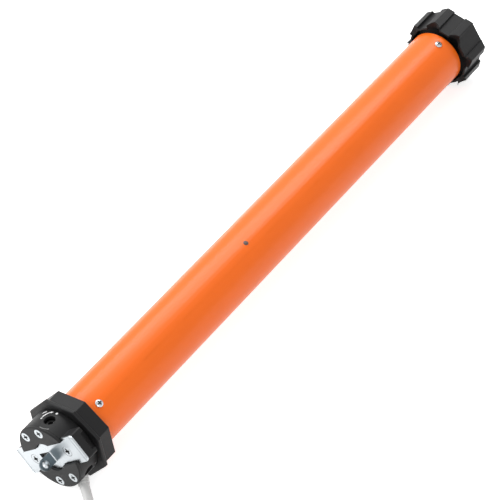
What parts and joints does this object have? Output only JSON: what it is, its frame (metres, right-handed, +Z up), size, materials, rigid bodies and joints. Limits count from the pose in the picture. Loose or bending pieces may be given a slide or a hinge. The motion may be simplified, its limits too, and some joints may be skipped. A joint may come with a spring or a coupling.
{
  "type": "tubular_motor",
  "caption": "Orange tubular motor for a roller blind, with a dark head, limit crown and octagonal drive wheel at its ends, and a light grey mains lead coiled beside the head",
  "frame": {"origin": "Middle of the underside of the motor as it lies on a flat of its limit crown, halfway between the tip of the mounting tab and the outer face of the drive wheel", "axes": "+X along the motor's axis from the head to the drive wheel, +Z up, +Y across, away from the side the cable leaves by"},
  "size_m": [0.6975, 0.116, 0.0614],
  "materials": {
    "dark_plastic": "moulded, faint sheen",
    "zinc": "zinc plated, bright",
    "orange_paint": "semi-gloss",
    "cam_plastic": "moulded",
    "gear_plastic": "moulded acetal",
    "black_plastic": "moulded",
    "capacitor_can": "film wrapped",
    "cast_alloy": "die cast",
    "core_steel": "plain, lightly oiled",
    "enamelled_copper": "varnished winding",
    "ground_steel": "ground",
    "brake_lining": "bonded lining",
    "cable_sheath": "smooth extruded",
    "core_sheath": "coloured insulation",
    "tinned_ferrule": "tinned",
    "tie_wrap": "moulded strip"
  },
  "bodies": {
    "housing": {"head_housing": "dark_plastic", "end_plates": "dark_plastic", "mounting_plate": "zinc", "tab_rivet": "zinc", "plate_screws": "zinc", "end_plate_screws": "zinc", "head_core": "dark_plastic", "limit_frame": "black_plastic", "limit_switches": "black_plastic", "motor_tube": "orange_paint", "tube_screws": "zinc", "stator_rivets": "zinc", "terminal_board": "black_plastic", "capacitor": "capacitor_can", "capacitor_clamp": "black_plastic", "front_shield": "cast_alloy", "rear_shield": "cast_alloy", "stator_core": "core_steel", "windings": "enamelled_copper", "brake_magnet": "core_steel", "brake_spring": "ground_steel", "gearbox_housing": "core_steel", "output_housing": "core_steel", "cable_gland": "cable_sheath", "cable_lead": "cable_sheath", "cable_coil": "cable_sheath", "cable_tail": "cable_sheath", "cable_cores": "core_sheath", "core_ferrules": "tinned_ferrule", "coil_tie": "tie_wrap", "internal_wires": "core_sheath"},
    "crown": {"limit_crown": "dark_plastic"},
    "pinion": {"limit_pinion": "gear_plastic"},
    "counter_1": {"first_counter_wheel": "gear_plastic"},
    "counter_2": {"second_counter_wheel": "gear_plastic"},
    "counter_3": {"third_counter_wheel": "gear_plastic"},
    "cam_up": {"up_cam": "cam_plastic"},
    "cam_down": {"down_cam": "cam_plastic"},
    "adjuster_up": {"up_adjuster": "black_plastic"},
    "adjuster_down": {"down_adjuster": "black_plastic"},
    "plunger_up": {"up_plunger": "cam_plastic"},
    "plunger_down": {"down_plunger": "cam_plastic"},
    "armature": {"brake_armature": "core_steel"},
    "rotor": {"rotor_core": "core_steel", "motor_shaft": "ground_steel", "brake_disc": "brake_lining"},
    "carrier_1": {"first_stage_carrier": "ground_steel"},
    "carrier_2": {"second_stage_carrier": "ground_steel"},
    "output": {"output_shaft": "ground_steel", "drive_wheel": "dark_plastic", "wheel_clip": "ground_steel"},
    "planet_11": {"first_stage_planet_1": "ground_steel"},
    "planet_12": {"first_stage_planet_2": "ground_steel"},
    "planet_13": {"first_stage_planet_3": "ground_steel"},
    "planet_21": {"second_stage_planet_1": "ground_steel"},
    "planet_22": {"second_stage_planet_2": "ground_steel"},
    "planet_23": {"second_stage_planet_3": "ground_steel"},
    "planet_31": {"third_stage_planet_1": "ground_steel"},
    "planet_32": {"third_stage_planet_2": "ground_steel"},
    "planet_33": {"third_stage_planet_3": "ground_steel"}
  },
  "joints": [
    {"name": "crown_turn", "type": "hinge", "parent": "housing", "child": "crown", "pos_m": [-0.23045, 0, 0.03065], "axis": [1, 0, 0], "continuous": true},
    {"name": "pinion_turn", "type": "hinge", "parent": "housing", "child": "pinion", "pos_m": [-0.23295, -0.0176, 0.03065], "axis": [1, 0, 0], "continuous": true},
    {"name": "counter_1_turn", "type": "hinge", "parent": "housing", "child": "counter_1", "pos_m": [-0.20015, -0.00848, 0.03766], "axis": [1, 0, 0], "continuous": true},
    {"name": "counter_2_turn", "type": "hinge", "parent": "housing", "child": "counter_2", "pos_m": [-0.19665, 0, 0.03065], "axis": [1, 0, 0], "continuous": true},
    {"name": "counter_3_turn", "type": "hinge", "parent": "housing", "child": "counter_3", "pos_m": [-0.18715, -0.00848, 0.03766], "axis": [1, 0, 0], "continuous": true},
    {"name": "cam_up_turn", "type": "hinge", "parent": "housing", "child": "cam_up", "pos_m": [-0.18815, 0, 0.03065], "axis": [1, 0, 0], "continuous": true},
    {"name": "cam_down_turn", "type": "hinge", "parent": "housing", "child": "cam_down", "pos_m": [-0.18155, 0, 0.03065], "axis": [1, 0, 0], "continuous": true},
    {"name": "adjuster_up_turn", "type": "hinge", "parent": "housing", "child": "adjuster_up", "pos_m": [-0.24695, 0.00078, 0.04863], "axis": [0, 0.0436, 0.999], "continuous": true},
    {"name": "adjuster_down_turn", "type": "hinge", "parent": "housing", "child": "adjuster_down", "pos_m": [-0.24695, -0.01661, 0.0237], "axis": [0, -0.9225, -0.3859], "continuous": true},
    {"name": "plunger_up_press", "type": "slide", "parent": "housing", "child": "plunger_up", "axis": [0, 1, 0], "range_m": [0, 0.0008], "stiffness_N_per_m": 200, "springref_m": -0.0002},
    {"name": "plunger_down_press", "type": "slide", "parent": "housing", "child": "plunger_down", "axis": [0, 1, 0], "range_m": [0, 0.0008], "stiffness_N_per_m": 200, "springref_m": -0.0002},
    {"name": "armature_release", "type": "slide", "parent": "housing", "child": "armature", "axis": [-1, 0, 0], "range_m": [0, 0.0005], "stiffness_N_per_m": 3000, "springref_m": -0.001},
    {"name": "rotor_turn", "type": "hinge", "parent": "housing", "child": "rotor", "pos_m": [-0.02115, 0, 0.03065], "axis": [1, 0, 0], "continuous": true},
    {"name": "carrier_1_turn", "type": "hinge", "parent": "housing", "child": "carrier_1", "pos_m": [0.08585, 0, 0.03065], "axis": [1, 0, 0], "continuous": true},
    {"name": "carrier_2_turn", "type": "hinge", "parent": "housing", "child": "carrier_2", "pos_m": [0.10885, 0, 0.03065], "axis": [1, 0, 0], "continuous": true},
    {"name": "output_turn", "type": "hinge", "parent": "housing", "child": "output", "pos_m": [0.25485, 0, 0.03065], "axis": [1, 0, 0], "continuous": true},
    {"name": "planet_11_turn", "type": "hinge", "parent": "carrier_1", "child": "planet_11", "pos_m": [0.07655, 0.0108, 0.03065], "axis": [1, 0, 0], "continuous": true},
    {"name": "planet_12_turn", "type": "hinge", "parent": "carrier_1", "child": "planet_12", "pos_m": [0.07655, -0.0054, 0.04], "axis": [1, 0, 0], "continuous": true},
    {"name": "planet_13_turn", "type": "hinge", "parent": "carrier_1", "child": "planet_13", "pos_m": [0.07655, -0.0054, 0.0213], "axis": [1, 0, 0], "continuous": true},
    {"name": "planet_21_turn", "type": "hinge", "parent": "carrier_2", "child": "planet_21", "pos_m": [0.09775, 0.0108, 0.03065], "axis": [1, 0, 0], "continuous": true},
    {"name": "planet_22_turn", "type": "hinge", "parent": "carrier_2", "child": "planet_22", "pos_m": [0.09775, -0.0054, 0.04], "axis": [1, 0, 0], "continuous": true},
    {"name": "planet_23_turn", "type": "hinge", "parent": "carrier_2", "child": "planet_23", "pos_m": [0.09775, -0.0054, 0.0213], "axis": [1, 0, 0], "continuous": true},
    {"name": "planet_31_turn", "type": "hinge", "parent": "output", "child": "planet_31", "pos_m": [0.12495, 0.0108, 0.03065], "axis": [1, 0, 0], "continuous": true},
    {"name": "planet_32_turn", "type": "hinge", "parent": "output", "child": "planet_32", "pos_m": [0.12495, -0.0054, 0.04], "axis": [1, 0, 0], "continuous": true},
    {"name": "planet_33_turn", "type": "hinge", "parent": "output", "child": "planet_33", "pos_m": [0.12495, -0.0054, 0.0213], "axis": [1, 0, 0], "continuous": true}
  ],
  "couplings": [
    {"joint": "pinion_turn", "follows": "crown_turn", "ratio": 4.6667},
    {"joint": "counter_1_turn", "follows": "crown_turn", "ratio": -1.6471},
    {"joint": "counter_2_turn", "follows": "crown_turn", "ratio": 0.48443},
    {"joint": "counter_3_turn", "follows": "crown_turn", "ratio": -0.14248},
    {"joint": "cam_up_turn", "follows": "crown_turn", "ratio": 0.041906},
    {"joint": "cam_down_turn", "follows": "crown_turn", "ratio": 0.041906},
    {"joint": "carrier_1_turn", "follows": "rotor_turn", "ratio": 0.22222},
    {"joint": "carrier_2_turn", "follows": "rotor_turn", "ratio": 0.049383},
    {"joint": "output_turn", "follows": "rotor_turn", "ratio": 0.010974},
    {"joint": "planet_11_turn", "follows": "rotor_turn", "ratio": -0.62222},
    {"joint": "planet_12_turn", "follows": "rotor_turn", "ratio": -0.62222},
    {"joint": "planet_13_turn", "follows": "rotor_turn", "ratio": -0.62222},
    {"joint": "planet_21_turn", "follows": "rotor_turn", "ratio": -0.13827},
    {"joint": "planet_22_turn", "follows": "rotor_turn", "ratio": -0.13827},
    {"joint": "planet_23_turn", "follows": "rotor_turn", "ratio": -0.13827},
    {"joint": "planet_31_turn", "follows": "rotor_turn", "ratio": -0.030727},
    {"joint": "planet_32_turn", "follows": "rotor_turn", "ratio": -0.030727},
    {"joint": "planet_33_turn", "follows": "rotor_turn", "ratio": -0.030727}
  ]
}
